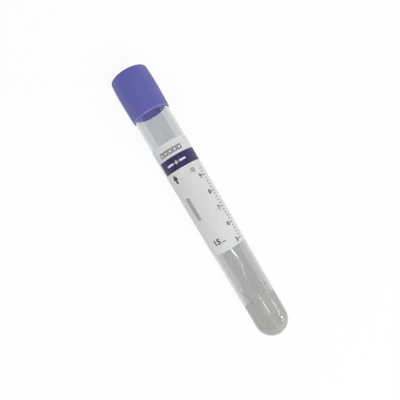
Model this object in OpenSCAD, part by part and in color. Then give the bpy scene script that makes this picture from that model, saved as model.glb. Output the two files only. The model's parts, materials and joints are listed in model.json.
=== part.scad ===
// Blood collection tube with its push-on closure, lying on its side as it comes to rest.
// It rests on the round end of the tube and on the belly of the cap.
// Sections are drawn as [radius, place], where place runs along the tube's own axis
// from 0 at the tip of the round end to tube_length at the lip.

/* [Tube] */
// Length of the tube from the tip of its round end to the lip
tube_length = 120; // [98:1:144]
// Outside diameter of the straight stretch under the lip
tube_d = 16; // [15:0.1:20]
// Outside diameter at the round end, after the moulding taper
end_d = 14.8; // [12:0.1:16]
// Length of the straight stretch, measured down from the lip
straight_length = 32; // [26:1:42]
// Thickness of the clear wall
tube_wall = 1.3; // [1:0.05:1.6]
// Radius of the rounded edges of the lip
lip_edge = 0.4; // [0.2:0.05:0.6]

/* [Cap] */
// Height of the cap from its top to the rim of its skirt
cap_height = 20; // [16.5:0.5:26]
// How far the top of the cap stands above the lip of the tube
cap_rise = 9.1; // [7.5:0.1:11]
// Gap between the skirt and the tube, all round
skirt_gap = 0.12; // [0.1:0.01:0.3]
// Wall of the skirt at its rim
rim_wall = 0.45; // [0.35:0.05:0.8]
// How far the belly of the cap stands out past its rim
belly = 0.25; // [0.1:0.05:0.5]
// How far the top edge of the cap stands in from its rim
top_draft = 0.15; // [0:0.05:0.5]
// Distance from the top of the cap down to its belly
belly_drop = 8.8; // [6:0.1:11]
// Radius of the rounded top edge
top_edge = 1.1; // [0.6:0.1:1.4]
// Radius of the rounded outside edge of the rim
rim_edge = 0.2; // [0.1:0.05:0.25]
// Thickness of the top web
web = 1.3; // [1:0.1:1.8]
// Diameter of the needle well in the top
well_d = 10; // [8:0.1:12]
// Wall of the collar round the needle well
collar_wall = 1.1; // [0.8:0.1:1.3]
// Chamfer at both ends of the needle well
well_chamfer = 0.4; // [0.2:0.1:0.6]
// Width of the shoulder that the stopper's flange seats on
shoulder = 0.7; // [0.4:0.1:0.8]

/* [Stopper] */
// Thickness of the flange on the lip
flange = 4; // [3:0.1:5]
// Length of the plug inside the mouth
plug_length = 7.5; // [6:0.1:9]
// Gap between the plug and the bore, in place of squeezed rubber
plug_gap = 0.05; // [0.03:0.01:0.1]
// Chamfer at the lower end of the plug
plug_chamfer = 0.6; // [0.3:0.1:1]
// How far the dish in the top of the stopper reaches past the needle well, all round
dish_margin = 0.2; // [0.1:0.05:0.6]
// Depth of the dish
dish_depth = 3; // [2:0.1:4]
// Diameter of the hollow in the foot of the plug
foot_d = 7.2; // [5:0.1:9]
// Depth of that hollow
foot_depth = 4.5; // [3:0.1:5]

/* [Label] */
// Distance from the tip of the round end up to the label
label_from = 43.4; // [36:0.1:54]
// Width of the label along the tube
label_width = 51.2; // [40:0.1:52]
// Thickness of the label
label_thickness = 0.1; // [0.06:0.01:0.12]
// How far round the tube the label goes, in degrees
label_wrap = 336; // [200:1:350]

/* [Contents] */
// Depth of the separator gel above the inside of the round end
gel_depth = 16.2; // [10:0.1:24]
// How far the middle of the gel's top lies below its edge
gel_dip = 0.8; // [0.2:0.1:1.5]
// Depth of the liquid over the lowest line of the bore, at the round end
liquid_depth = 2.2; // [1.5:0.1:4]
// Gap between the liquid and the foot of the stopper
liquid_gap = 0.3; // [0.2:0.05:0.6]

/* [Hidden] */
$fn = 96;

// Tube
tube_r = tube_d / 2;
end_r = end_d / 2;
bore_r = tube_r - tube_wall;
end_bore_r = end_r - tube_wall;
straight_from = tube_length - straight_length;

// Cap, from the rim up
cap_top = tube_length + cap_rise;
rim = cap_top - cap_height;
skirt_r = tube_r + skirt_gap;
rim_r = skirt_r + rim_wall;
belly_r = rim_r + belly;
cap_top_r = rim_r - top_draft;
belly_at = cap_top - belly_drop;
ceiling = tube_length + flange;
well_r = well_d / 2;
collar_r = well_r + collar_wall;
hollow_r = skirt_r - shoulder;

// Stopper
plug_r = bore_r - plug_gap;
dish_r = well_r + dish_margin;
foot = tube_length - plug_length;

// Contents
gel_top = tube_wall + gel_depth;
liquid_level = tube_wall + liquid_depth;

// Radii of the two long arcs that make the barrel of the cap, above and below its belly
upper_arc = arc_radius(belly_drop, belly_r - cap_top_r);
lower_arc = arc_radius(belly_at - rim, belly_r - rim_r);

// The axis leans so that the round end and the cap's lower arc both touch the floor
rest_run = belly_at - end_r;
rest_rise = lower_arc - belly_r;
lean = asin((lower_arc - end_r) / norm([rest_run, rest_rise])) - atan2(rest_rise, rest_run);

// The tip of the round end and the top edge of the cap then lie equally far from the origin
tip_x = end_r;
top_x = (cap_top - top_edge - end_r) * cos(lean) + (cap_top_r - top_edge) * sin(lean) + top_edge;
centre_x = (top_x - tip_x) / 2;

// Radius of a circular arc that falls away by drop over a run
function arc_radius(run, drop) = (run * run + drop * drop) / (2 * drop);

// Points on an arc round [x, y]
function arc(x, y, r, from, to, steps) =
    [for (i = [0 : steps]) let (a = from + (to - from) * i / steps) [x + r * cos(a), y + r * sin(a)]];

// Radius of the barrel at a place along the axis
function barrel_r(place) =
    let (radius = place > belly_at ? upper_arc : lower_arc, run = place - belly_at)
    belly_r - radius + sqrt(radius * radius - run * run);

// Radius of the outside of the tube above its round end
function wall_r(place) =
    tube_r - (tube_r - end_r) * max(0, straight_from - place) / (straight_from - end_r);

// Surface of the gel, from the axis out to the bore
function gel_surface(steps) =
    let (r = wall_r(gel_top) - tube_wall)
    [for (i = [0 : steps]) let (share = i / steps) [r * share, gel_top - gel_dip * (1 - share * share)]];

// Turns a section about the axis and lays it down with its closure towards -X
module lay() {
    translate([centre_x, 0, end_r])
        rotate([0, lean - 90, 0])
            translate([0, 0, -end_r])
                children();
}

// One moulding with a round end: a taper, a straight stretch and a rounded lip
module tube() {
    color([0.84, 0.87, 0.88, 0.4])
        lay()
            rotate_extrude()
                polygon(concat(
                    arc(0, end_r, end_r, -90, 0, 16),
                    [[tube_r, straight_from]],
                    arc(tube_r - lip_edge, tube_length - lip_edge, lip_edge, 0, 90, 4),
                    arc(bore_r + lip_edge, tube_length - lip_edge, lip_edge, 90, 180, 4),
                    [[bore_r, straight_from]],
                    arc(0, end_r, end_bore_r, 0, -90, 16)
                ));
}

// Rubber plug with a flange on the lip, dished over a thin middle for the needle
module stopper() {
    color([0.30, 0.30, 0.33])
        lay()
            rotate_extrude()
                polygon([
                    [0, foot + foot_depth],
                    [foot_d / 2, foot + foot_depth],
                    [foot_d / 2, foot],
                    [plug_r - plug_chamfer, foot],
                    [plug_r, foot + plug_chamfer],
                    [plug_r, tube_length],
                    [skirt_r, tube_length],
                    [skirt_r, ceiling],
                    [dish_r, ceiling],
                    [dish_r, ceiling - dish_depth],
                    [0, ceiling - dish_depth]
                ]);
}

// Barrel-shaped shell: a skirt over the tube, a web with the needle well, and a collar down to the stopper
module cap() {
    color([0.40, 0.38, 0.68])
        lay()
            rotate_extrude()
                polygon(concat(
                    [[skirt_r, rim]],
                    arc(barrel_r(rim) - rim_edge, rim + rim_edge, rim_edge, -90, 0, 3),
                    [for (i = [1 : 15]) let (place = rim + (cap_top - top_edge - rim) * i / 16) [barrel_r(place), place]],
                    arc(barrel_r(cap_top - top_edge) - top_edge, cap_top - top_edge, top_edge, 0, 90, 6),
                    [
                        [well_r + well_chamfer, cap_top],
                        [well_r, cap_top - well_chamfer],
                        [well_r, ceiling + well_chamfer],
                        [well_r + well_chamfer, ceiling],
                        [collar_r, ceiling],
                        [collar_r, cap_top - web],
                        [hollow_r, cap_top - web],
                        [hollow_r, ceiling],
                        [skirt_r, ceiling]
                    ]
                ));
}

// Paper wrap that follows the wall, with its open seam towards the floor
module label() {
    top = label_from + label_width;
    bend = min(max(straight_from, label_from), top);
    color([0.93, 0.94, 0.94])
        lay()
            rotate(180 + (360 - label_wrap) / 2)
                rotate_extrude(angle = label_wrap)
                    polygon([
                        [wall_r(label_from), label_from],
                        [wall_r(label_from) + label_thickness, label_from],
                        [wall_r(bend) + label_thickness, bend],
                        [wall_r(top) + label_thickness, top],
                        [wall_r(top), top],
                        [wall_r(bend), bend]
                    ]);
}

// Separator gel set in the round end, with a shallow hollow top
module gel() {
    color([0.80, 0.80, 0.76, 0.8])
        lay()
            rotate_extrude()
                polygon(concat(
                    arc(0, end_r, end_bore_r, -90, 0, 16),
                    [for (i = [8 : -1 : 0]) gel_surface(8)[i]]
                ));
}

// Citrate solution that has run down to the lower side of the bore
module anticoagulant() {
    color([0.88, 0.90, 0.90, 0.5])
        intersection() {
            lay()
                rotate_extrude()
                    polygon(concat(
                        gel_surface(8),
                        [
                            [bore_r, straight_from],
                            [bore_r, foot - liquid_gap],
                            [0, foot - liquid_gap]
                        ]
                    ));
            translate([-tube_length, -tube_r, 0])
                cube([2 * tube_length, tube_d, liquid_level]);
        }
}

tube();
stopper();
cap();
label();
gel();
anticoagulant();
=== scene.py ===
"""A capped blood collection tube that lies on its side.

Each turned piece starts as a section of (radius, place, rounding) corners. Place runs along the
tube's own axis, from the tip of its round end to the top of its cap. The section is spun about that
axis and then laid down where the frame has it. Angles round the tube start at its upper side and
grow towards +Y.
"""

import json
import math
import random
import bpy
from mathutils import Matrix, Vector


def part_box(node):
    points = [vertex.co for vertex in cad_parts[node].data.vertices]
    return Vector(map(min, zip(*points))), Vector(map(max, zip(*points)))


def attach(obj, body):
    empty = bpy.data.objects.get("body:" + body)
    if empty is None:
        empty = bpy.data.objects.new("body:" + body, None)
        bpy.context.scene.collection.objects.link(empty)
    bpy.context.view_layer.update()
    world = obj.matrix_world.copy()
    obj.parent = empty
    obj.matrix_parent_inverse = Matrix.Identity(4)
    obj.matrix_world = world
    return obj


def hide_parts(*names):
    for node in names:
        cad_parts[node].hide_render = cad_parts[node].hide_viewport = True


bl_info = {
    "name": "Blood Collection Tube",
    "version": (1, 0, 0),
    "blender": (4, 5, 0),
    "location": "3D View > Sidebar > Blood Tube",
    "description": "Models a capped blood collection tube with its label, gel and liquid",
    "category": "Add Mesh",
}

import bmesh
import bpy
from bpy.props import FloatProperty, FloatVectorProperty, IntProperty, PointerProperty
from mathutils import Matrix, Vector, noise

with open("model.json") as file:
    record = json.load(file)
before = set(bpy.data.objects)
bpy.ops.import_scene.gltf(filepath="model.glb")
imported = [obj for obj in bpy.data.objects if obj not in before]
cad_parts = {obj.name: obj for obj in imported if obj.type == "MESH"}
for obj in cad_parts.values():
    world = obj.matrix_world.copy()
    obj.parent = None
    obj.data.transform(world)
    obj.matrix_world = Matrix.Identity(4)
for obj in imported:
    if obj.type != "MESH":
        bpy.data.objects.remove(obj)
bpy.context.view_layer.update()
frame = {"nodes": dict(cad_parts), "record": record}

MM = 0.001
NODES = frame["nodes"]
PORT = next(m for m in frame["record"]["mounts"] if m["name"] == "needle_port")
AXIS = Vector(PORT["axis"]).normalized()
SIDE = Vector((0, 1, 0))
UP = SIDE.cross(AXIS)


def reach(node, start):
    """Lowest and highest place and largest radius of a frame node, from a point on the axis."""
    arms = [v.co - start for v in NODES[node].data.vertices]
    places = [arm.dot(AXIS) for arm in arms]
    return min(places), max(places), max((a - AXIS * p).length for a, p in zip(arms, places))


WELL = Vector(PORT["pos_m"])
TIP = WELL + AXIS * reach("tube", WELL)[0]
LEAN = math.asin(AXIS.z)
LAY_DOWN = Matrix.Translation(TIP) @ Matrix((UP, SIDE, AXIS)).transposed().to_4x4()

TUBE = reach("tube", TIP)
CAP = reach("cap", TIP)
STOPPER = reach("stopper", TIP)
LABEL = reach("label", TIP)
GEL = reach("gel", TIP)
LIQUID = reach("anticoagulant", TIP)


# ------------------------------------ sizes and colours


def size(name, description, default, least=0.0, most=0.2):
    """A length that the user may change, in metres."""
    return FloatProperty(
        name=name, description=description, default=default, min=least, max=most,
        precision=5, unit="LENGTH", subtype="DISTANCE",
    )


def setting(name, description, default, least, most):
    """A plain number that the user may change, whole if its default is whole."""
    kind = IntProperty if isinstance(default, int) else FloatProperty
    return kind(name=name, description=description, default=default, min=least, max=most)


def colour(name, description, default):
    """A colour that the user may change, in linear light."""
    return FloatVectorProperty(
        name=name, description=description, default=default, min=0.0, max=1.0,
        size=3, subtype="COLOR",
    )


class TubeSizes(bpy.types.PropertyGroup):
    """Sizes and colour of the clear tube."""

    length: size("Length", "From the tip of the round end to the lip", TUBE[1])
    mouth: size("Mouth radius", "Outside radius of the straight stretch", TUBE[2])
    end: size("End radius", "Outside radius of the round end", TIP.z / (1 - AXIS.z))
    straight: size("Straight stretch", "Length of the straight stretch under the lip", 32 * MM)
    wall: size("Wall", "Thickness of the clear wall", 1.3 * MM)
    lip: size("Lip rounding", "Radius of the rounded edges of the lip", 0.4 * MM)
    gate_radius: size("Gate radius", "Radius of the moulding mark at the tip", 1.0 * MM)
    gate_depth: size("Gate depth", "Depth of the moulding mark at the tip", 0.12 * MM)
    # The grey tints are painted shade, for the shaded floor seen through the tube
    tint: colour("Tint", "Colour near the cap", (0.87, 0.885, 0.91))
    low_tint: colour("Low tint", "Colour near the round end", (0.805, 0.808, 0.80))


class CapSizes(bpy.types.PropertyGroup):
    """Sizes and colour of the push-on cap."""

    rim: size("Rim", "Place of the rim of the skirt", CAP[0])
    top: size("Top", "Place of the flat top", CAP[1])
    belly: size("Belly radius", "Largest outside radius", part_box("cap")[1].y)
    belly_drop: size("Belly drop", "From the top down to the belly", 8.8 * MM)
    rim_inset: size("Rim inset", "How far the rim stands in from the belly", 0.25 * MM)
    top_inset: size("Top inset", "How far the top edge stands in from the belly", 0.40 * MM)
    skirt: size("Skirt radius", "Inside radius of the skirt", 8.12 * MM)
    edge: size("Top edge", "Radius of the rounded top edge", 1.1 * MM)
    rim_edge: size("Rim edge", "Radius of the rounded rim", 0.2 * MM)
    web: size("Web", "Thickness of the top", 1.3 * MM)
    well: size("Well radius", "Radius of the needle well", PORT["dims"]["r_mm"] * MM)
    chamfer: size("Well chamfer", "Chamfer at both ends of the needle well", 0.4 * MM)
    collar: size("Collar", "Wall of the collar round the needle well", 1.1 * MM)
    shoulder: size("Shoulder", "Width of the shoulder over the stopper", 0.7 * MM)
    dark: colour("Dark violet", "Deeper colour of the moulded plastic", (0.097, 0.097, 0.375))
    light: colour("Light violet", "Paler colour of the moulded plastic", (0.131, 0.131, 0.435))
    # The inside of the skirt is a far brighter violet than the outside: painted light standing in
    # for light that reaches in through the clear tube and the thin wall
    inside_dark: colour("Dark painted glow", "Deeper violet painted as glow inside the skirt", (0.285, 0.255, 1.0))
    inside_light: colour("Light painted glow", "Paler violet painted as glow inside the skirt", (0.365, 0.33, 1.0))


class StopperSizes(bpy.types.PropertyGroup):
    """Sizes and colour of the rubber stopper."""

    foot: size("Foot", "Place of the foot of the plug", STOPPER[0])
    top: size("Top", "Place of the top of the flange", STOPPER[1])
    flange: size("Flange radius", "Radius of the flange", STOPPER[2])
    plug: size("Plug radius", "Radius of the plug inside the mouth", 6.65 * MM)
    plug_chamfer: size("Plug chamfer", "Chamfer at the foot of the plug", 0.6 * MM)
    dish: size("Dish radius", "Radius of the dish under the needle well", 5.2 * MM)
    dish_depth: size("Dish depth", "Depth of the dish", 3 * MM)
    hollow: size("Hollow radius", "Radius of the hollow in the foot", 3.6 * MM)
    hollow_depth: size("Hollow depth", "Depth of the hollow in the foot", 4.5 * MM)
    groove: size("Groove depth", "Depth of the grooves between the sealing ribs", 0.2 * MM)
    rubber: colour("Rubber", "Colour of the rubber", (0.055, 0.055, 0.062))


class LabelSizes(bpy.types.PropertyGroup):
    """Sizes and colours of the paper label and what is printed on it."""

    low: size("Lower edge", "Place of the edge near the round end", LABEL[0])
    high: size("Upper edge", "Place of the edge near the cap", LABEL[1])
    paper: size("Paper", "Thickness of the paper", 0.1 * MM)
    band_low: size("Band from", "Place where the violet band starts", 82.6 * MM)
    band_high: size("Band to", "Place where the violet band ends", 88.4 * MM)
    band_start: setting("Band start", "Angle where the band starts, in degrees", -66, -168, 168)
    wrap: setting("Wrap", "How far round the tube the paper goes, in degrees", 336, 200, 350)
    ink: size("Ink", "Thickness of the printing ink", 0.015 * MM)
    paper_colour: colour("Paper", "Colour of the coated paper", (0.705, 0.72, 0.712))
    band_colour: colour("Band", "Colour of the printed band", (0.020, 0.006, 0.092))
    dark_ink: colour("Dark ink", "Colour of the dark marks", (0.030, 0.030, 0.035))
    grey_ink: colour("Grey ink", "Colour of the stamped marks", (0.085, 0.083, 0.080))
    white_ink: colour("White ink", "Colour of the marks on the band", (0.72, 0.72, 0.74))
    scale_low: size("Scale from", "Place of the lowest numbered mark of the scale", 45.3 * MM)
    scale_step: size("Scale step", "Distance between two numbered marks", 7.6 * MM)
    scale_first: setting("Scale first", "Number at the lowest numbered mark", 5, 1, 20)
    volume: setting("Volume", "Number near the round end, in millilitres", 15, 1, 50)


class ContentsSizes(bpy.types.PropertyGroup):
    """Sizes and colours of the gel and the liquid."""

    gel_top: size("Gel top", "Place of the edge of the gel", GEL[1])
    gel_dip: size("Gel dip", "How far the middle of the gel lies below its edge", 0.8 * MM)
    unevenness: size("Unevenness", "How uneven the top of the gel is", 0.35 * MM)
    creep: setting("Creep", "How flat the gel stays before it turns up to the wall", 7, 2, 20)
    slant: size("Slant", "How much further up the tube the gel reaches on its upper side", 3.0 * MM)
    liquid_top: size("Liquid end", "Place of the end of the liquid near the stopper", LIQUID[1])
    level: size("Level", "Height of the liquid over the floor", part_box("anticoagulant")[1].z)
    meniscus: size("Meniscus", "How far the liquid creeps up the wall", 0.15 * MM)
    sunk: size("Sunk", "How far the contents reach into the wall, so that no air shows", 0.03 * MM)
    gel_colour: colour("Gel", "Colour of the separator gel", (0.745, 0.752, 0.725))
    liquid_colour: colour("Liquid", "Colour of the liquid", (0.93, 0.95, 0.95))


class StageSettings(bpy.types.PropertyGroup):
    """Floor, light and camera."""

    floor: colour("Floor", "Colour of the floor", (0.90, 0.90, 0.90))
    glow: setting("Floor glow", "How much of the floor's white is its own", 0.90, 0, 1)
    sky: setting("Sky", "Strength of the light from all round", 0.52, 0, 2)
    distance: size("Camera height", "Height of the camera over the floor", 170.8 * MM, most=1.0)
    capward: size("Camera place", "How far the camera stands towards the cap", 0.5 * MM)
    lens: setting("Lens", "Focal length in millimetres", 33.8, 10, 200)
    turn: FloatProperty(
        name="Camera turn", default=math.radians(59.57), subtype="ANGLE",
        description="Turn of the camera about the vertical",
    )
    shift_x: setting("Shift across", "Sideways shift as a share of the view", -0.0088, -0.1, 0.1)
    shift_y: setting("Shift up", "Upward shift as a share of the view", 0.0087, -0.1, 0.1)


# ------------------------------------ shaping


def rounded_section(bm, corners):
    """Draws a section through (radius, place, rounding) corners, closed but for the axis."""
    verts = [bm.verts.new((radius, 0, place)) for radius, place, _ in corners]
    bm.faces.new(verts)
    for vert, (_, _, rounding) in zip(verts, corners):
        if rounding:
            bmesh.ops.bevel(
                bm, geom=[vert], offset=rounding, offset_type="OFFSET", profile=0.5, material=-1,
                segments=32 if rounding > 3 * MM else 8 if rounding > 0.5 * MM else 4,
                affect="VERTICES", clamp_overlap=True,
            )
    bmesh.ops.delete(bm, geom=bm.faces[:], context="FACES_ONLY")
    bmesh.ops.remove_doubles(bm, verts=bm.verts, dist=1e-7)
    on_axis = [e for e in bm.edges if all(abs(v.co.x) < 1e-7 for v in e.verts)]
    bmesh.ops.delete(bm, geom=on_axis, context="EDGES")


def curve_edge(bm, edge, cuts, shape):
    """Cuts an edge and moves its points, both ends as well, to shape(radius, place)."""
    inner = bmesh.ops.subdivide_edges(bm, edges=[edge], cuts=cuts)["geom_inner"]
    points = {v for v in inner if isinstance(v, bmesh.types.BMVert)} | set(edge.verts)
    for vert in points:
        vert.co.x, vert.co.z = shape(vert.co.x, vert.co.z)


def turn(bm, steps, angle=math.tau):
    """Spins a section about the axis."""
    bmesh.ops.spin(
        bm, geom=bm.verts[:] + bm.edges[:], cent=(0, 0, 0), axis=(0, 0, 1), dvec=(0, 0, 0),
        angle=angle, steps=steps, use_merge=angle == math.tau, use_duplicate=False,
    )
    bmesh.ops.remove_doubles(bm, verts=bm.verts, dist=1e-7)
    bmesh.ops.recalc_face_normals(bm, faces=bm.faces)


def make_object(bm, name, materials):
    """Turns a finished shape into an object of the scene."""
    mesh = bpy.data.meshes.new(name)
    bm.to_mesh(mesh)
    bm.free()
    for material in materials:
        mesh.materials.append(material)
    made = bpy.data.objects.new(name, mesh)
    bpy.context.scene.collection.objects.link(made)
    return made


def add_piece(bm, name, body, materials, node=None, sharp=40):
    """Lays a shape down in the frame as an object that rides on a body."""
    bmesh.ops.transform(bm, matrix=LAY_DOWN, space=Matrix.Identity(4), verts=bm.verts)
    piece = make_object(bm, name, materials)
    piece.data.shade_smooth()
    piece.data.set_sharp_from_angle(angle=math.radians(sharp))
    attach(piece, body)
    if node:
        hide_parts(node)


def wall_radius(place):
    """Outside radius of the tube above its round end."""
    tube = bpy.context.scene.tube_sizes
    taper_top = tube.length - tube.straight
    share = max(0.0, taper_top - place) / (taper_top - tube.end)
    return tube.mouth - (tube.mouth - tube.end) * share


def bore_radius(place):
    """Inside radius of the tube above its round end."""
    return wall_radius(place) - bpy.context.scene.tube_sizes.wall


# ------------------------------------ finishes


def add_node(tree, kind, inputs=None, **settings):
    """Adds a node. An input given as a socket is linked, and one given as a value is set."""
    node = tree.nodes.new("ShaderNode" + kind)
    for key, value in settings.items():
        setattr(node, key, value)
    for key, value in (inputs or {}).items():
        if isinstance(value, bpy.types.NodeSocket):
            tree.links.new(value, node.inputs[key])
        else:
            node.inputs[key].default_value = value
    return node


def number(tree, operation, *values):
    """Adds a sum on one, two or three values and returns its result."""
    return add_node(tree, "Math", dict(enumerate(values)), operation=operation).outputs[0]


def spread(tree, value, low, high, to_low, to_high):
    """Turns one range of values into another, with no overshoot."""
    inputs = dict(enumerate((value, low, high, to_low, to_high)))
    return add_node(tree, "MapRange", inputs, clamp=True).outputs["Result"]


def mixed(tree, factor, first, second, way="MIX"):
    """Mixes two colours, each a socket or three numbers."""
    pair = [c if isinstance(c, bpy.types.NodeSocket) else (*c, 1.0) for c in (first, second)]
    inputs = {0: factor, 6: pair[0], 7: pair[1]}
    return add_node(tree, "Mix", inputs, data_type="RGBA", blend_type=way).outputs[2]


def effect(name, **inputs):
    """Starts a node group with number inputs and one Amount output."""
    tree = bpy.data.node_groups.new(name, "ShaderNodeTree")
    for socket, default in inputs.items():
        made = tree.interface.new_socket(socket, in_out="INPUT", socket_type="NodeSocketFloat")
        made.default_value = default
    tree.interface.new_socket("Amount", in_out="OUTPUT", socket_type="NodeSocketFloat")
    given = tree.nodes.new("NodeGroupInput").outputs
    result = tree.nodes.new("NodeGroupOutput").inputs["Amount"]
    return tree, given, result


def on_piece(tree):
    """Object coordinates."""
    return add_node(tree, "TexCoord").outputs["Object"]


def along_the_tube(tree, squeeze):
    """Object coordinates turned so that X runs along the tube, and squeezed along it."""
    inputs = {"Vector": on_piece(tree), "Rotation": (0, -LEAN, 0), "Scale": (squeeze, 1, 1)}
    return add_node(tree, "Mapping", inputs).outputs["Vector"]


def place_on_tube(tree):
    """Distance from the tip of the round end, measured along the tube."""
    ends = {0: on_piece(tree), 1: TIP}
    arm = add_node(tree, "VectorMath", ends, operation="SUBTRACT").outputs["Vector"]
    return add_node(tree, "VectorMath", {0: arm, 1: AXIS}, operation="DOT_PRODUCT").outputs["Value"]


def cloudy(tree, where, size, low, high, **inputs):
    """Noise whose patches have about the given size, 0 at its low values and 1 at its high ones."""
    scale = number(tree, "DIVIDE", 1.0, size)
    noisy = add_node(tree, "TexNoise", {"Vector": where, "Scale": scale, **inputs})
    return spread(tree, noisy.outputs["Fac"], low, high, 0, 1)


def make_grain():
    """Fine even grain, from 0 to 1."""
    tree, given, result = effect("Fine grain", Size=0.5 * MM)
    grain = cloudy(tree, on_piece(tree), given["Size"], 0.3, 0.7, Detail=3.0, Roughness=0.6)
    tree.links.new(grain, result)
    return tree


def make_flow_lines():
    """Long soft lines along the tube, as plastic leaves when it fills a mould, from 0 to 1."""
    tree, given, result = effect("Flow lines", Width=1 * MM)
    where = along_the_tube(tree, squeeze=0.05)
    lines = cloudy(tree, where, given["Width"], 0.3, 0.7, Detail=2.0)
    tree.links.new(lines, result)
    return tree


def make_specks():
    """Sparse specks of dust, 0 where clean and 1 where dusty."""
    tree, given, result = effect("Dust specks", Size=0.3 * MM, Share=0.3)
    least = number(tree, "SUBTRACT", 0.80, number(tree, "MULTIPLY", given["Share"], 0.3))
    most = number(tree, "ADD", least, 0.06)
    dust = cloudy(tree, on_piece(tree), given["Size"], least, most, Detail=1.0)
    tree.links.new(dust, result)
    return tree


EFFECTS = {"Fine grain": make_grain, "Flow lines": make_flow_lines, "Dust specks": make_specks}


def amount(tree, name, **inputs):
    """Places a shared effect in a material and returns its amount."""
    group = tree.nodes.new("ShaderNodeGroup")
    group.node_tree = bpy.data.node_groups.get(name) or EFFECTS[name]()
    for socket, value in inputs.items():
        group.inputs[socket].default_value = value
    return group.outputs["Amount"]


def start_finish(name, **plain):
    """A new material and its Principled shader, with its plain values set."""
    material = bpy.data.materials.new(name)
    material.use_nodes = True
    shader = material.node_tree.nodes["Principled BSDF"]
    for socket, value in plain.items():
        shader.inputs[socket.replace("_", " ")].default_value = value
    return material.node_tree, shader, material


def feed(tree, shader, height=None, depth=0.0, **sockets):
    """Links values to the shader, and a height to its Normal through a bump of that depth."""
    for socket, value in sockets.items():
        tree.links.new(value, shader.inputs[socket.replace("_", " ")])
    if height:
        bump = add_node(tree, "Bump", {"Height": height, "Distance": depth})
        tree.links.new(bump.outputs["Normal"], shader.inputs["Normal"])


def let_light_in(tree, shader, tint):
    """Lets light from lamps and pieces through unbent, so that what a clear piece holds is lit."""
    path = add_node(tree, "LightPath").outputs
    unseen = number(tree, "MAXIMUM", path["Is Shadow Ray"], path["Is Diffuse Ray"])
    open_way = add_node(tree, "BsdfTransparent", {"Color": (*tint, 1)}).outputs[0]
    both = add_node(tree, "MixShader", {0: unseen, 1: shader.outputs[0], 2: open_way}).outputs[0]
    tree.links.new(both, tree.nodes["Material Output"].inputs["Surface"])


def clear_plastic(tint, low_tint):
    """Clear moulded plastic with faint flow lines and a few smears, tinted grey and given a grey
    absorption as painted shade, lighter and bluer towards the cap and nearly clear under it.
    """
    tree, shader, material = start_finish(
        "Clear plastic", IOR=1.45, Transmission_Weight=1.0,
        Coat_Weight=0.4, Coat_IOR=1.4, Coat_Roughness=0.03,
    )
    smears = amount(tree, "Fine grain", Size=6 * MM)
    lines = amount(tree, "Flow lines", Width=2.2 * MM)
    place = place_on_tube(tree)
    # The grey tint is painted shade: darker towards the round end, lighter and bluer towards the
    # cap, and nearly gone under the cap
    low_until, high_from, edge = 65 * MM, 95 * MM, 0.4 * MM
    shaded_tint = mixed(tree, spread(tree, place, low_until, high_from, 0, 1), low_tint, tint)
    under_cap = spread(tree, place, CAP[0] - edge, CAP[0] + edge, 0, 1)
    plain = mixed(tree, under_cap, shaded_tint, (0.98, 0.98, 0.98))
    darker = mixed(tree, 1.0, plain, (0.97, 0.97, 0.97), "MULTIPLY")
    feed(
        tree, shader, height=lines, depth=0.006 * MM,
        Base_Color=mixed(tree, lines, darker, plain),
        Roughness=spread(tree, smears, 0.3, 1.0, 0.03, 0.07),
    )
    let_light_in(tree, shader, (1.0, 1.0, 1.0))
    # The grey absorption inside the wall is painted shade as well
    shade_absorption = add_node(tree, "VolumeAbsorption", {"Color": (0.5, 0.51, 0.52, 1), "Density": 160.0})
    tree.links.new(shade_absorption.outputs[0], tree.nodes["Material Output"].inputs["Volume"])
    return material


def violet_plastic(name, dark, light):
    """Satin violet plastic with moulding streaks, a fine grain, a little dust and a painted
    highlight along the rim.
    """
    tree, shader, material = start_finish(name, IOR=1.5)
    streaks = amount(tree, "Flow lines", Width=1.2 * MM)
    grain = amount(tree, "Fine grain", Size=0.25 * MM)
    dust = amount(tree, "Dust specks", Size=0.4 * MM, Share=0.25)
    body = mixed(tree, number(tree, "MULTIPLY_ADD", streaks, 0.4, 0.3), dark, light)
    # A paler band just above the rim is a painted highlight on the rim's edge
    rim = spread(tree, place_on_tube(tree), CAP[0] + 0.3 * MM, CAP[0] + 0.7 * MM, 0.35, 0)
    body = mixed(tree, rim, body, [0.3 + 0.6 * c for c in light])
    dusty = [0.5 + 0.5 * c for c in light]
    relief = number(tree, "MULTIPLY_ADD", grain, 0.7, number(tree, "MULTIPLY", streaks, 0.15))
    feed(
        tree, shader, height=relief, depth=0.03 * MM,
        Base_Color=mixed(tree, number(tree, "MULTIPLY", dust, 0.12), body, dusty),
        Roughness=spread(tree, grain, 0, 1, 0.40, 0.54),
    )
    return material


def stopper_rubber(rubber):
    """Dull grey rubber, bloomed pale in patches."""
    tree, shader, material = start_finish("Stopper rubber", IOR=1.5, Specular_IOR_Level=0.35)
    bloom = amount(tree, "Fine grain", Size=3 * MM)
    grain = amount(tree, "Fine grain", Size=0.2 * MM)
    dust = amount(tree, "Dust specks", Size=0.3 * MM, Share=0.6)
    body = mixed(tree, number(tree, "MULTIPLY", bloom, 0.5), rubber, [2.2 * c for c in rubber])
    feed(
        tree, shader, height=grain, depth=0.05 * MM,
        Base_Color=mixed(tree, number(tree, "MULTIPLY", dust, 0.4), body, (0.45, 0.45, 0.45)),
        Roughness=spread(tree, bloom, 0, 1, 0.62, 0.85),
    )
    return material


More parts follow.
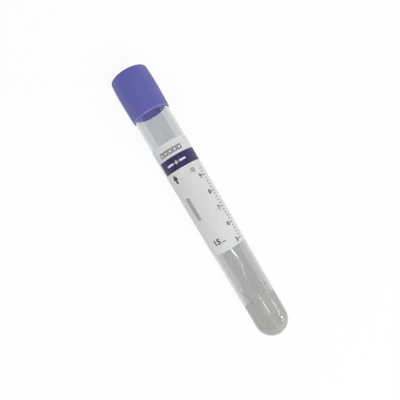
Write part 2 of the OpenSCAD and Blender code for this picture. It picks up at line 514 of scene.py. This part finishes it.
def coated_paper(name, paper, ink_share=0.0):
    """Smooth coated paper that lets some light through, with a faint fibre and mottling.

    With an ink_share it is printing ink, which lets no light through and shows that much fibre.
    """
    tree, shader, material = start_finish(
        name, IOR=1.5, Coat_Weight=0.15, Coat_Roughness=0.25,
        Subsurface_Weight=0.0 if ink_share else 0.6,
        Subsurface_Radius=(1.0, 1.0, 1.0), Subsurface_Scale=0.3 * MM,
    )
    fibre = amount(tree, "Fine grain", Size=0.35 * MM)
    mottle = amount(tree, "Fine grain", Size=4 * MM)
    darker = [c * 0.93 for c in paper]
    body = mixed(tree, mottle, darker, paper)
    lift = (0.5, 0.5, 0.5) if ink_share else [min(1.0, c * 1.05) for c in paper]
    feed(
        tree, shader, height=fibre, depth=0.02 * MM,
        Base_Color=mixed(tree, number(tree, "MULTIPLY", fibre, ink_share or 0.6), body, lift),
        Roughness=spread(tree, fibre, 0, 1, 0.42, 0.58),
    )
    return material


def separator_gel(gel):
    """Soft milky gel with cloudy patches."""
    tree, shader, material = start_finish("Separator gel", IOR=1.36, Transmission_Weight=0.55)
    cloud = amount(tree, "Fine grain", Size=3.5 * MM)
    grain = amount(tree, "Fine grain", Size=0.9 * MM)
    patches = number(tree, "MULTIPLY_ADD", grain, 0.3, number(tree, "MULTIPLY", cloud, 0.7))
    feed(
        tree, shader, height=cloud, depth=0.02 * MM,
        Base_Color=mixed(tree, patches, [c * 0.95 for c in gel], gel),
        Roughness=spread(tree, cloud, 0, 1, 0.26, 0.32),
    )
    let_light_in(tree, shader, (0.93, 0.93, 0.92))
    return material


def clear_liquid(liquid):
    """Clear watery liquid with a slight ripple."""
    tree, shader, material = start_finish(
        "Clear liquid", IOR=1.34, Transmission_Weight=1.0, Specular_IOR_Level=0.1
    )
    ripple = amount(tree, "Fine grain", Size=4 * MM)
    grain = amount(tree, "Fine grain", Size=1.2 * MM)
    feed(
        tree, shader, height=ripple, depth=0.01 * MM,
        Base_Color=mixed(tree, grain, [c * 0.97 for c in liquid], liquid),
        Roughness=spread(tree, grain, 0, 1, 0.0, 0.03),
    )
    let_light_in(tree, shader, (0.97, 0.975, 0.975))
    return material


# ------------------------------------ pieces


class BLOODTUBE_OT_add_tube(bpy.types.Operator):
    """Add the clear tube with its round end, taper and rounded lip"""

    bl_idname = "bloodtube.add_tube"
    bl_label = "Add Clear Tube"

    def execute(self, context):
        tube = context.scene.tube_sizes
        bore, end_bore = tube.mouth - tube.wall, tube.end - tube.wall
        taper_top = tube.length - tube.straight
        bm = bmesh.new()
        rounded_section(bm, [
            (0, 0, 0),
            (tube.end, 0, tube.end),
            (tube.end, tube.end, 0),
            (tube.mouth, taper_top, 0),
            (tube.mouth, tube.length, tube.lip),
            (bore, tube.length, tube.lip),
            (bore, taper_top, 0),
            (end_bore, tube.end, 0),
            (end_bore, tube.wall, end_bore),
            (0, tube.wall, 0),
        ])
        turn(bm, 192)
        gate = [v for v in bm.verts if v.co.z < tube.wall / 2 and v.co.xy.length < tube.gate_radius]
        bmesh.ops.translate(bm, verts=gate, vec=(0, 0, tube.gate_depth))
        finish = clear_plastic(tube.tint, tube.low_tint)
        add_piece(bm, "tube_wall", "tube_body", [finish], "tube")
        return {"FINISHED"}


class BLOODTUBE_OT_add_cap(bpy.types.Operator):
    """Add the barrel-shaped cap with its needle well, collar and skirt"""

    bl_idname = "bloodtube.add_cap"
    bl_label = "Add Cap"

    def execute(self, context):
        cap, stopper = context.scene.cap_sizes, context.scene.stopper_sizes
        belly_at = cap.top - cap.belly_drop

        def barrel(_, place):
            """Two long arcs that meet at the belly."""
            upper = place > belly_at
            run = cap.belly_drop if upper else belly_at - cap.rim
            drop = cap.top_inset if upper else cap.rim_inset
            radius = (run * run + drop * drop) / (2 * drop)
            return cap.belly - radius + math.sqrt(radius**2 - (place - belly_at) ** 2), place

        hollow, ceiling = cap.skirt - cap.shoulder, stopper.top
        collar = cap.well + cap.collar
        bm = bmesh.new()
        rounded_section(bm, [
            (cap.skirt, cap.rim, 0.05 * MM),
            (barrel(0, cap.rim + cap.rim_edge)[0], cap.rim, cap.rim_edge),
            (barrel(0, cap.top - cap.edge)[0], cap.top, cap.edge),
            (cap.well + cap.chamfer, cap.top, 0.1 * MM),
            (cap.well, cap.top - cap.chamfer, 0.1 * MM),
            (cap.well, ceiling + cap.chamfer, 0),
            (cap.well + cap.chamfer, ceiling, 0),
            (collar, ceiling, 0.1 * MM),
            (collar, cap.top - cap.web, 0.25 * MM),
            (hollow, cap.top - cap.web, 0.25 * MM),
            (hollow, ceiling, 0.1 * MM),
            (cap.skirt, ceiling, 0.1 * MM),
        ])
        outer_edges = (e for e in bm.edges if e.verts[0].co.x > cap.skirt)
        curve_edge(bm, max(outer_edges, key=lambda e: e.calc_length()), 40, barrel)
        turn(bm, 160)
        # Faces inside the skirt take the second finish, whose brighter violet is painted light
        for face in bm.faces:
            middle = face.calc_center_median()
            inside = middle.z < ceiling and middle.xy.length < cap.skirt + 0.1 * MM
            face.material_index = int(inside)
        finishes = [
            violet_plastic("Violet plastic", cap.dark, cap.light),
            violet_plastic("Violet plastic with painted glow inside the skirt", cap.inside_dark, cap.inside_light),
        ]
        add_piece(bm, "cap_shell", "closure", finishes, "cap")
        return {"FINISHED"}


class BLOODTUBE_OT_add_stopper(bpy.types.Operator):
    """Add the rubber stopper with its flange, dish and sealing ribs"""

    bl_idname = "bloodtube.add_stopper"
    bl_label = "Add Stopper"

    def execute(self, context):
        stopper, tube = context.scene.stopper_sizes, context.scene.tube_sizes
        grooved = stopper.plug - stopper.groove
        width, slope, soft = 0.9 * MM, 0.15 * MM, 0.1 * MM
        grooves = []
        for start in (stopper.foot + 2.4 * MM, stopper.foot + 4.6 * MM):
            grooves += [
                (stopper.plug, start, soft),
                (grooved, start + slope, soft),
                (grooved, start + width, soft),
                (stopper.plug, start + width + slope, soft),
            ]
        bm = bmesh.new()
        rounded_section(bm, [
            (0, stopper.foot + stopper.hollow_depth, 0),
            (stopper.hollow, stopper.foot + stopper.hollow_depth, 0.6 * MM),
            (stopper.hollow, stopper.foot, 0.3 * MM),
            (stopper.plug - stopper.plug_chamfer, stopper.foot, 0.2 * MM),
            (stopper.plug, stopper.foot + stopper.plug_chamfer, 0.2 * MM),
            *grooves,
            (stopper.plug, tube.length, 0),
            (stopper.flange, tube.length, 0.2 * MM),
            (stopper.flange, stopper.top, 0.2 * MM),
            (stopper.dish, stopper.top, 0.2 * MM),
            (stopper.dish, stopper.top - stopper.dish_depth, 0.8 * MM),
            (0, stopper.top - stopper.dish_depth, 0),
        ])
        turn(bm, 128)
        finish = stopper_rubber(stopper.rubber)
        add_piece(bm, "rubber_stopper", "closure", [finish], "stopper")
        return {"FINISHED"}


class BLOODTUBE_OT_add_label(bpy.types.Operator):
    """Add the paper label with its violet band"""

    bl_idname = "bloodtube.add_label"
    bl_label = "Add Label"

    def execute(self, context):
        label, tube = context.scene.label_sizes, context.scene.tube_sizes
        taper_top = tube.length - tube.straight
        places = sorted([label.low, label.band_low, taper_top, label.band_high, label.high])
        sunk = 0.01 * MM
        bm = bmesh.new()
        rounded_section(
            bm,
            [(wall_radius(p) + label.paper, p, 0) for p in places]
            + [(wall_radius(p) - sunk, p, 0) for p in reversed(places)],
        )
        start = -math.radians(label.wrap / 2)
        bmesh.ops.rotate(bm, cent=(0, 0, 0), matrix=Matrix.Rotation(start, 3, "Z"), verts=bm.verts)
        turn(bm, label.wrap // 3, math.radians(label.wrap))
        bmesh.ops.holes_fill(bm, edges=[e for e in bm.edges if e.is_boundary], sides=0)
        bmesh.ops.recalc_face_normals(bm, faces=bm.faces)
        for face in bm.faces:
            middle = face.calc_center_median()
            angle = math.degrees(math.atan2(middle.y, middle.x))
            outer = middle.xy.length > wall_radius(middle.z) + label.paper / 2
            printed = outer and label.band_low < middle.z < label.band_high
            face.material_index = int(printed and angle > label.band_start)
        papers = [
            coated_paper("Coated paper", label.paper_colour),
            coated_paper("Violet ink", label.band_colour, 0.06),
        ]
        add_piece(bm, "paper_label", "tube_body", papers, "label", sharp=20)
        return {"FINISHED"}


class BLOODTUBE_OT_add_gel(bpy.types.Operator):
    """Add the separator gel in the round end, with an uneven hollow top"""

    bl_idname = "bloodtube.add_gel"
    bl_label = "Add Gel"

    def execute(self, context):
        contents, tube = context.scene.contents_sizes, context.scene.tube_sizes
        outside = tube.end - tube.wall + contents.sunk
        top = contents.gel_top
        edge = bore_radius(top) + contents.sunk
        bm = bmesh.new()
        rounded_section(bm, [
            (0, tube.end - outside, 0),
            (outside, tube.end - outside, outside),
            (outside, tube.end, 0),
            (edge, top, 0),
            (0, top - contents.gel_dip, 0),
        ])

        def hollow(radius, _):
            """Flat in the middle and turned up to the wall."""
            return radius, top - contents.gel_dip * (1 - (radius / edge) ** contents.creep)

        over_round_end = tube.end + MM
        surface = next(e for e in bm.edges if min(v.co.z for v in e.verts) > over_round_end)
        curve_edge(bm, surface, 24, hollow)
        turn(bm, 128)
        wave_width, wave_middle = 3.2 * MM, 0.3
        for vert in bm.verts:
            if vert.co.z > over_round_end:
                wave = noise.noise(Vector((vert.co.x, vert.co.y, 0)) / wave_width) - wave_middle
                vert.co.z += contents.unevenness * wave + contents.slant * vert.co.x / edge
        finish = separator_gel(contents.gel_colour)
        add_piece(bm, "separator_gel", "tube_body", [finish], "gel")
        return {"FINISHED"}


class BLOODTUBE_OT_add_liquid(bpy.types.Operator):
    """Add the liquid that lies along the lower side of the bore"""

    bl_idname = "bloodtube.add_liquid"
    bl_label = "Add Liquid"

    def execute(self, context):
        contents, tube = context.scene.contents_sizes, context.scene.tube_sizes
        taper_top = tube.length - tube.straight
        start = contents.gel_top - contents.gel_dip
        bm = bmesh.new()
        rounded_section(bm, [
            (0, start, 0),
            (bore_radius(start) + contents.sunk, start, 0),
            (bore_radius(taper_top) + contents.sunk, taper_top, 0),
            (bore_radius(taper_top) + contents.sunk, contents.liquid_top, 0.5 * MM),
            (0, contents.liquid_top, 0),
        ])
        turn(bm, 192)
        for vert in bm.verts:
            if vert.co.z < start + 0.1 * MM:  # the end that lies on the slanting gel
                vert.co.z += contents.slant * vert.co.x / bore_radius(start)
        level = LAY_DOWN.inverted() @ Vector((0, 0, contents.level))
        upwards = LAY_DOWN.inverted().to_3x3() @ Vector((0, 0, 1))
        bmesh.ops.bisect_plane(
            bm, geom=bm.verts[:] + bm.edges[:] + bm.faces[:], dist=1e-7,
            plane_co=level, plane_no=upwards, clear_outer=True,
        )
        bmesh.ops.holes_fill(bm, edges=[e for e in bm.edges if e.is_boundary], sides=0)
        bmesh.ops.recalc_face_normals(bm, faces=bm.faces)
        surface = max(bm.faces, key=lambda f: f.calc_area())
        bmesh.ops.inset_region(
            bm, faces=[surface], thickness=0.35 * MM, depth=-contents.meniscus, use_even_offset=True
        )
        finish = clear_liquid(contents.liquid_colour)
        add_piece(
            bm, "anticoagulant_liquid", "tube_body", [finish], "anticoagulant",
            sharp=60,
        )
        return {"FINISHED"}


# ------------------------------------ marks on the label


def flat_bars(bm, *bars):
    """Adds flat rectangles, each given as (across, along, width, height) in millimetres."""
    faces = []
    for across, along, width, height in bars:
        sides = Matrix.Diagonal((width * MM, height * MM, 1, 1))
        spot = Matrix.Translation((across * MM, along * MM, 0)) @ sides
        bar = bmesh.ops.create_grid(bm, x_segments=1, y_segments=1, size=0.5, matrix=spot)
        faces += {f for v in bar["verts"] for f in v.link_faces}
    return faces


def flat_round(bm, across, along, radius, sides):
    """Adds a flat disc, or a regular shape of few sides, in millimetres."""
    spot = Matrix.Translation((across * MM, along * MM, 0))
    rim = bmesh.ops.create_circle(
        bm, cap_ends=True, segments=sides, radius=radius * MM, matrix=spot
    )
    return list({f for v in rim["verts"] for f in v.link_faces})


def outline(bm, faces, line):
    """Keeps only a rim of each face, as wide as the line in millimetres."""
    bmesh.ops.inset_individual(bm, faces=faces, thickness=line * MM, use_even_offset=True)
    bmesh.ops.delete(bm, geom=faces, context="FACES")


def flat_number(bm, value, along, height, bold):
    """Adds a plain number, set as text and made a mesh before it takes its place."""
    text = bpy.data.curves.new("number", "FONT")
    text.body, text.size, text.resolution_u = str(value), height * MM, 3
    text.align_x, text.align_y, text.offset = "CENTER", "CENTER", bold * MM
    holder = bpy.data.objects.new("number", text)
    bpy.context.scene.collection.objects.link(holder)
    shaped = holder.evaluated_get(bpy.context.evaluated_depsgraph_get())
    mesh = bpy.data.meshes.new_from_object(shaped)
    mesh.transform(Matrix.Translation((0, along * MM, 0)))
    bm.from_mesh(mesh)
    bpy.data.objects.remove(holder)
    bpy.data.curves.remove(text)
    bpy.data.meshes.remove(mesh)


def add_marks(bm, name, material, angle, place):
    """Makes flat marks as thick as ink and bends them round the label at an angle in degrees."""
    label, tube = bpy.context.scene.label_sizes, bpy.context.scene.tube_sizes
    step = 0.4 * MM
    bmesh.ops.remove_doubles(bm, verts=bm.verts, dist=1e-7)
    widest = max(abs(v.co.x) for v in bm.verts)
    for cut in range(-int(widest / step), int(widest / step) + 1):
        bmesh.ops.bisect_plane(
            bm, geom=bm.verts[:] + bm.edges[:] + bm.faces[:], dist=1e-7,
            plane_co=(cut * step, 0, 0), plane_no=(1, 0, 0),
        )
    bmesh.ops.recalc_face_normals(bm, faces=bm.faces)
    bmesh.ops.solidify(bm, geom=bm.faces[:], thickness=label.ink)
    paper_face = min(v.co.z for v in bm.verts) + label.ink / 3  # the ink soaks in by a third
    for vert in bm.verts:
        along = place + vert.co.y
        radius = wall_radius(along) + label.paper + vert.co.z - paper_face
        around = math.radians(angle) + vert.co.x / tube.mouth
        vert.co = (radius * math.cos(around), radius * math.sin(around), along)
    bmesh.ops.recalc_face_normals(bm, faces=bm.faces)
    add_piece(bm, name, "tube_body", [material])


class BLOODTUBE_OT_add_marks(bpy.types.Operator):
    """Add the plain marks on the label: boxes, bars, a scale, a stamp and lines to write on"""

    bl_idname = "bloodtube.add_marks"
    bl_label = "Add Label Marks"

    def execute(self, context):
        label = context.scene.label_sizes
        dark = coated_paper("Dark ink", label.dark_ink, 0.05)
        grey = coated_paper("Grey ink", label.grey_ink, 0.12)
        white = coated_paper("White ink", label.white_ink, 0.10)

        # A row of empty boxes
        pitch, width, height, line = 2.15, 1.8, 2.1, 0.38
        bm = bmesh.new()
        outline(bm, flat_bars(bm, *[(pitch * i, 0, width, height) for i in range(-2, 3)]), line)
        add_marks(bm, "title_boxes", dark, angle=-7.5, place=90.7 * MM)

        # Two bars with a cross between them, on the band
        bm = bmesh.new()
        flat_bars(bm, (-2.9, 0, 3.0, 0.9), (2.9, 0, 3.0, 0.9))
        flat_bars(bm, (0, 0, 0.45, 1.7), (-0.6, 0, 0.6, 0.45), (0.6, 0, 0.6, 0.45))
        add_marks(bm, "band_bars", white, angle=-8, place=85.5 * MM)

        # An arrow that points to the cap
        head, shaft_width, shaft_length = 1.6, 1.0, 1.7
        bm = bmesh.new()
        flat_round(bm, 0, 0.7, head, 3)
        flat_bars(bm, (0, -0.95, shaft_width, shaft_length))
        add_marks(bm, "arrow_mark", dark, angle=-38, place=79.3 * MM)

        # A small ring with a dot
        ring, line, dot = 0.95, 0.25, 0.3
        bm = bmesh.new()
        outline(bm, flat_round(bm, 0, 0, ring, 32), line)
        flat_round(bm, 0, 0, dot, 12)
        add_marks(bm, "ring_mark", dark, angle=24, place=79.5 * MM)

        # A narrow box of short bars that stand left and right in turn
        width, length, line = 1.8, 10.4, 0.2
        pitch, swing, bar_width, bar_height = 0.75, 0.15, 0.85, 0.5
        bm = bmesh.new()
        outline(bm, flat_bars(bm, (0, 0, width, length)), line)
        for i in range(-6, 7):
            across = -swing if i % 2 else swing
            flat_bars(bm, (across, pitch * i, bar_width, bar_height))
        add_marks(bm, "stamp_box", grey, angle=-38, place=65.1 * MM)

        # The scale: five steps to a number, with a longer line at each number
        long, short, short_across, line = 1.6, 0.9, 0.3, 0.38
        steps, lines, numbers = 5, 23, 5
        tick = label.scale_step / MM / steps
        bm = bmesh.new()
        for i in range(lines):
            across, width = (short_across, short) if i % steps else (0, long)
            flat_bars(bm, (across, tick * i, width, line))
        add_marks(bm, "scale_lines", dark, angle=50, place=label.scale_low)

        bm = bmesh.new()
        for i in range(numbers):
            flat_number(bm, label.scale_first + i, tick * steps * i, height=2.6, bold=0.09)
        add_marks(bm, "scale_numbers", dark, angle=37, place=label.scale_low)

        # The amount that the tube holds, with a line after it
        bm = bmesh.new()
        flat_number(bm, label.volume, 0, height=3.4, bold=0.12)
        flat_bars(bm, (3.0, -0.75, 1.9, 0.35))
        add_marks(bm, "fill_number", dark, angle=-26, place=48.2 * MM)

        # Three lines to write on, round the far side
        pitch, line, length = 2.6, 0.15, 30
        bm = bmesh.new()
        flat_bars(bm, *[(pitch * i, 0, line, length) for i in range(3)])
        add_marks(bm, "write_lines", grey, angle=-140, place=66 * MM)
        return {"FINISHED"}


class BLOODTUBE_OT_add_droplets(bpy.types.Operator):
    """Add the droplets and smears of gel on the inside of the wall and the bubbles in the gel"""

    bl_idname = "bloodtube.add_droplets"
    bl_label = "Add Droplets and Bubbles"

    def execute(self, context):
        contents = context.scene.contents_sizes
        draw = random.Random(5)
        liquid = bpy.data.materials["Clear liquid"]
        gel = bpy.data.materials["Separator gel"]

        bm = bmesh.new()
        for _ in range(12):
            place = contents.gel_top + draw.uniform(0.8, 16) * MM
            angle = draw.uniform(-55, 55)
            self.blob(bm, angle, place, 0, draw.uniform(0.15, 0.35) * MM, flatness=0.3)
        add_piece(bm, "wall_droplets", "tube_body", [liquid])

        bm = bmesh.new()
        for _ in range(9):
            place = contents.gel_top - draw.uniform(2.5, 11) * MM
            radius = draw.uniform(0.12, 0.3) * MM
            angle = draw.uniform(-70, 70)
            self.blob(bm, angle, place, draw.uniform(0.4, 0.9) * MM, radius, flatness=1.0)
        add_piece(bm, "gel_bubbles", "tube_body", [liquid])

        bm = bmesh.new()
        for _ in range(9):
            place = contents.gel_top + draw.uniform(-0.6, 7) * MM
            angle = draw.choice((-1, 1)) * draw.uniform(25, 55)
            radius = draw.uniform(0.3, 0.7) * MM
            self.blob(bm, angle, place, 0, radius, flatness=0.25, stretch=draw.uniform(1.5, 4))
        add_piece(bm, "gel_smears", "tube_body", [gel])
        return {"FINISHED"}

    def blob(self, bm, angle, place, inwards, radius, flatness, stretch=1.2):
        """Adds a ball at an angle in degrees and a place on the bore, or inwards from it."""
        spot = (
            Matrix.Rotation(math.radians(angle), 4, "Z")
            @ Matrix.Translation((bore_radius(place) - inwards, 0, place))
            @ Matrix.Diagonal((flatness, 1, stretch, 1))
        )
        bmesh.ops.create_icosphere(bm, subdivisions=3, radius=radius, matrix=spot)


# ------------------------------------ stage


# The floor, and the grey card that hangs over it in place of a dim ceiling
FLOOR_RADIUS = 4.0
CARD_HEIGHT, CARD_WIDTH, CARD_GREY = 1.2, 6.0, 0.25

# The broad lamp that lights the tube, with its power in watts
LAMP_PLACE, LAMP_WIDTH, LAMP_POWER = (0.42, 0.10, 0.62), 0.5, 3.3

# The strips that make the fine highlights: place, width, height and watts to the square metre
STRIPS = {
    "Inner strip": ((0.138, 0.006, 0.5), 0.010, 0.055, 125),
    "Outer strip": ((0.138, 0.128, 0.5), 0.010, 0.055, 110),
    "Far strip": ((0.236, 0.087, 0.5), 0.012, 0.045, 90),
    "Side strip": ((0.228, 0.440, 0.167), 0.036, 0.025, 55),
    "Corner strip": ((0.298, 0.418, 0.165), 0.150, 0.012, 80),
    "End strip": ((0.460, 0.070, 0.30), 0.03, 0.03, 40),
}
STRIP_TARGET = (0.04, 0, 0.01)


def add_lamp(name, place, target, width, height, power, mirrored=True):
    """Adds a soft rectangular lamp that shines at a point, and if mirrored shows in gloss."""
    lamp = bpy.data.lights.new(name, "AREA")
    lamp.shape, lamp.size, lamp.size_y, lamp.energy = "RECTANGLE", width, height, power
    holder = bpy.data.objects.new(name, lamp)
    holder.location = place
    holder.rotation_euler = (Vector(target) - Vector(place)).to_track_quat("-Z", "Y").to_euler()
    holder.visible_camera = False
    holder.visible_glossy = holder.visible_transmission = mirrored
    bpy.context.scene.collection.objects.link(holder)


def seen(tree):
    """1 for what the camera sees, straight or by gloss and clear plastic, and 0 for the rest."""
    path = add_node(tree, "LightPath").outputs
    direct = number(tree, "MAXIMUM", path["Is Camera Ray"], path["Is Transmission Ray"])
    return number(tree, "MAXIMUM", direct, path["Is Glossy Ray"])


def emission(tree, level):
    """Adds a grey or white glow."""
    inputs = {"Color": (level, level, level, 1), "Strength": 1.0}
    return add_node(tree, "Emission", inputs).outputs[0]


def stage_material(name, surface):
    """A material with the shader that surface(tree) returns."""
    material = bpy.data.materials.new(name)
    material.use_nodes = True
    tree = material.node_tree
    tree.nodes.remove(tree.nodes["Principled BSDF"])
    tree.links.new(surface(tree), tree.nodes["Material Output"].inputs["Surface"])
    return material


class BLOODTUBE_OT_add_stage(bpy.types.Operator):
    """Add the pale floor, the light all round, the lamps and the camera"""

    bl_idname = "bloodtube.add_stage"
    bl_label = "Add Stage"

    def execute(self, context):
        scene = context.scene
        stage = scene.stage_settings
        self.add_floor(stage)
        self.add_sky(scene, stage)
        self.add_card()
        add_lamp(
            "Overhead lamp", LAMP_PLACE, (0, 0, 0), LAMP_WIDTH, LAMP_WIDTH, LAMP_POWER,
            mirrored=False,
        )
        for name, (place, width, height, glare) in STRIPS.items():
            add_lamp(name, place, STRIP_TARGET, width, height, glare * width * height)
        self.add_camera(scene, stage)
        scene.view_settings.view_transform = "Standard"
        return {"FINISHED"}

    def add_floor(self, stage):
        """A matt floor that takes shadows, and is white of its own where it is seen."""

        def surface(tree):
            matt = add_node(tree, "BsdfDiffuse", {"Color": (*stage.floor, 1)}).outputs[0]
            share = number(tree, "MULTIPLY", seen(tree), stage.glow)
            inputs = {0: share, 1: matt, 2: emission(tree, 1.0)}
            return add_node(tree, "MixShader", inputs).outputs[0]

        bm = bmesh.new()
        bmesh.ops.create_circle(bm, cap_ends=True, segments=96, radius=FLOOR_RADIUS)
        floor = make_object(bm, "floor", [stage_material("Pale floor", surface)])

    def add_card(self):
        """A grey card that takes no light away and shows only in gloss and clear plastic."""
        sides = Matrix.Diagonal((CARD_WIDTH, CARD_WIDTH, 1, 1))
        spot = Matrix.Translation((0, 0, CARD_HEIGHT)) @ sides
        bm = bmesh.new()
        bmesh.ops.create_grid(bm, x_segments=1, y_segments=1, size=0.5, matrix=spot)
        grey = stage_material("Grey card", lambda tree: emission(tree, CARD_GREY))
        card = make_object(bm, "overhead_card", [grey])
        for ray in ("camera", "diffuse", "volume_scatter", "shadow"):
            setattr(card, "visible_" + ray, False)

    def add_sky(self, scene, stage):
        """Light from all round, and white where it is seen."""
        world = bpy.data.worlds.new("Pale room")
        world.use_nodes = True
        tree = world.node_tree
        sky = tree.nodes["Background"]
        sky.inputs["Color"].default_value = (1, 1, 1, 1)
        tree.links.new(spread(tree, seen(tree), 0, 1, stage.sky, 1.0), sky.inputs["Strength"])
        scene.world = world

    def add_camera(self, scene, stage):
        """A camera that looks straight down."""
        data = bpy.data.cameras.new("camera")
        data.sensor_width, data.lens = 36.0, stage.lens
        data.shift_x, data.shift_y = stage.shift_x, stage.shift_y
        camera = bpy.data.objects.new("camera", data)
        scene.collection.objects.link(camera)
        camera.location = (-stage.capward, 0, stage.distance)
        camera.rotation_euler = (0, 0, stage.turn)
        scene.camera = camera


class BLOODTUBE_PT_panel(bpy.types.Panel):
    """Lists the pieces of the tube in the order in which they are made"""

    bl_label = "Blood Collection Tube"
    bl_idname = "BLOODTUBE_PT_panel"
    bl_space_type = "VIEW_3D"
    bl_region_type = "UI"
    bl_category = "Blood Tube"

    def draw(self, context):
        for operator in OPERATORS:
            self.layout.operator(operator.bl_idname)
        for name, group in SETTINGS.items():
            box = self.layout.box()
            box.label(text=group.__doc__)
            for key in group.__annotations__:
                box.prop(getattr(context.scene, name), key)


SETTINGS = {
    "tube_sizes": TubeSizes,
    "cap_sizes": CapSizes,
    "stopper_sizes": StopperSizes,
    "label_sizes": LabelSizes,
    "contents_sizes": ContentsSizes,
    "stage_settings": StageSettings,
}
OPERATORS = (
    BLOODTUBE_OT_add_tube,
    BLOODTUBE_OT_add_cap,
    BLOODTUBE_OT_add_stopper,
    BLOODTUBE_OT_add_label,
    BLOODTUBE_OT_add_gel,
    BLOODTUBE_OT_add_liquid,
    BLOODTUBE_OT_add_marks,
    BLOODTUBE_OT_add_droplets,
    BLOODTUBE_OT_add_stage,
)
CLASSES = (*SETTINGS.values(), *OPERATORS, BLOODTUBE_PT_panel)


def register():
    for cls in CLASSES:
        bpy.utils.register_class(cls)
    for name, group in SETTINGS.items():
        setattr(bpy.types.Scene, name, PointerProperty(type=group))


def unregister():
    for name in SETTINGS:
        delattr(bpy.types.Scene, name)
    for cls in reversed(CLASSES):
        bpy.utils.unregister_class(cls)


def main():
    """Makes every piece and the stage."""
    register()
    bpy.ops.bloodtube.add_tube()
    bpy.ops.bloodtube.add_cap()
    bpy.ops.bloodtube.add_stopper()
    bpy.ops.bloodtube.add_label()
    bpy.ops.bloodtube.add_gel()
    bpy.ops.bloodtube.add_liquid()
    bpy.ops.bloodtube.add_marks()
    bpy.ops.bloodtube.add_droplets()
    bpy.ops.bloodtube.add_stage()


if __name__ == "__main__":
    main()
